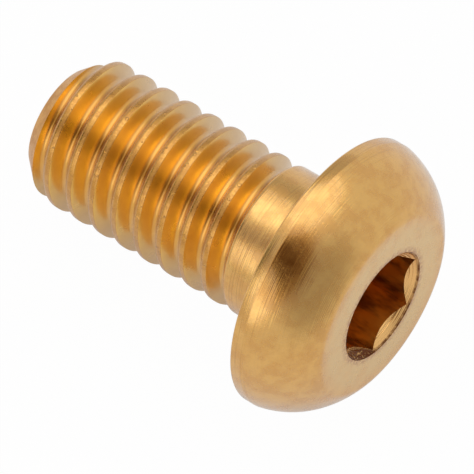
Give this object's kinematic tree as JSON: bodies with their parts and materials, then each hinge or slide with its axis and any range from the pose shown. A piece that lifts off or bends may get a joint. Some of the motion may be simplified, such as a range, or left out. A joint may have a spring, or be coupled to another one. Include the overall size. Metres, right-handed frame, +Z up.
{
  "type": "button head socket screw",
  "caption": "Short brass machine screw with a low domed head, a hexagon socket and a coarse right-hand thread, lying on its side.",
  "frame": {"origin": "centre of the bearing face under the head, on the screw's axis; the screw lies as it comes to rest, so the surface under it is below the origin", "axes": "+X towards the head and +Z up; the screw's own axis lies in the XZ plane and rises towards the head"},
  "size_m": [0.0105, 0.0074, 0.0072],
  "materials": {
    "brass": "turned bar brass, bright in the thread and satin with fine turning marks on the head"
  },
  "bodies": {
    "root": {"button_head_screw": "brass"}
  },
  "joints": []
}
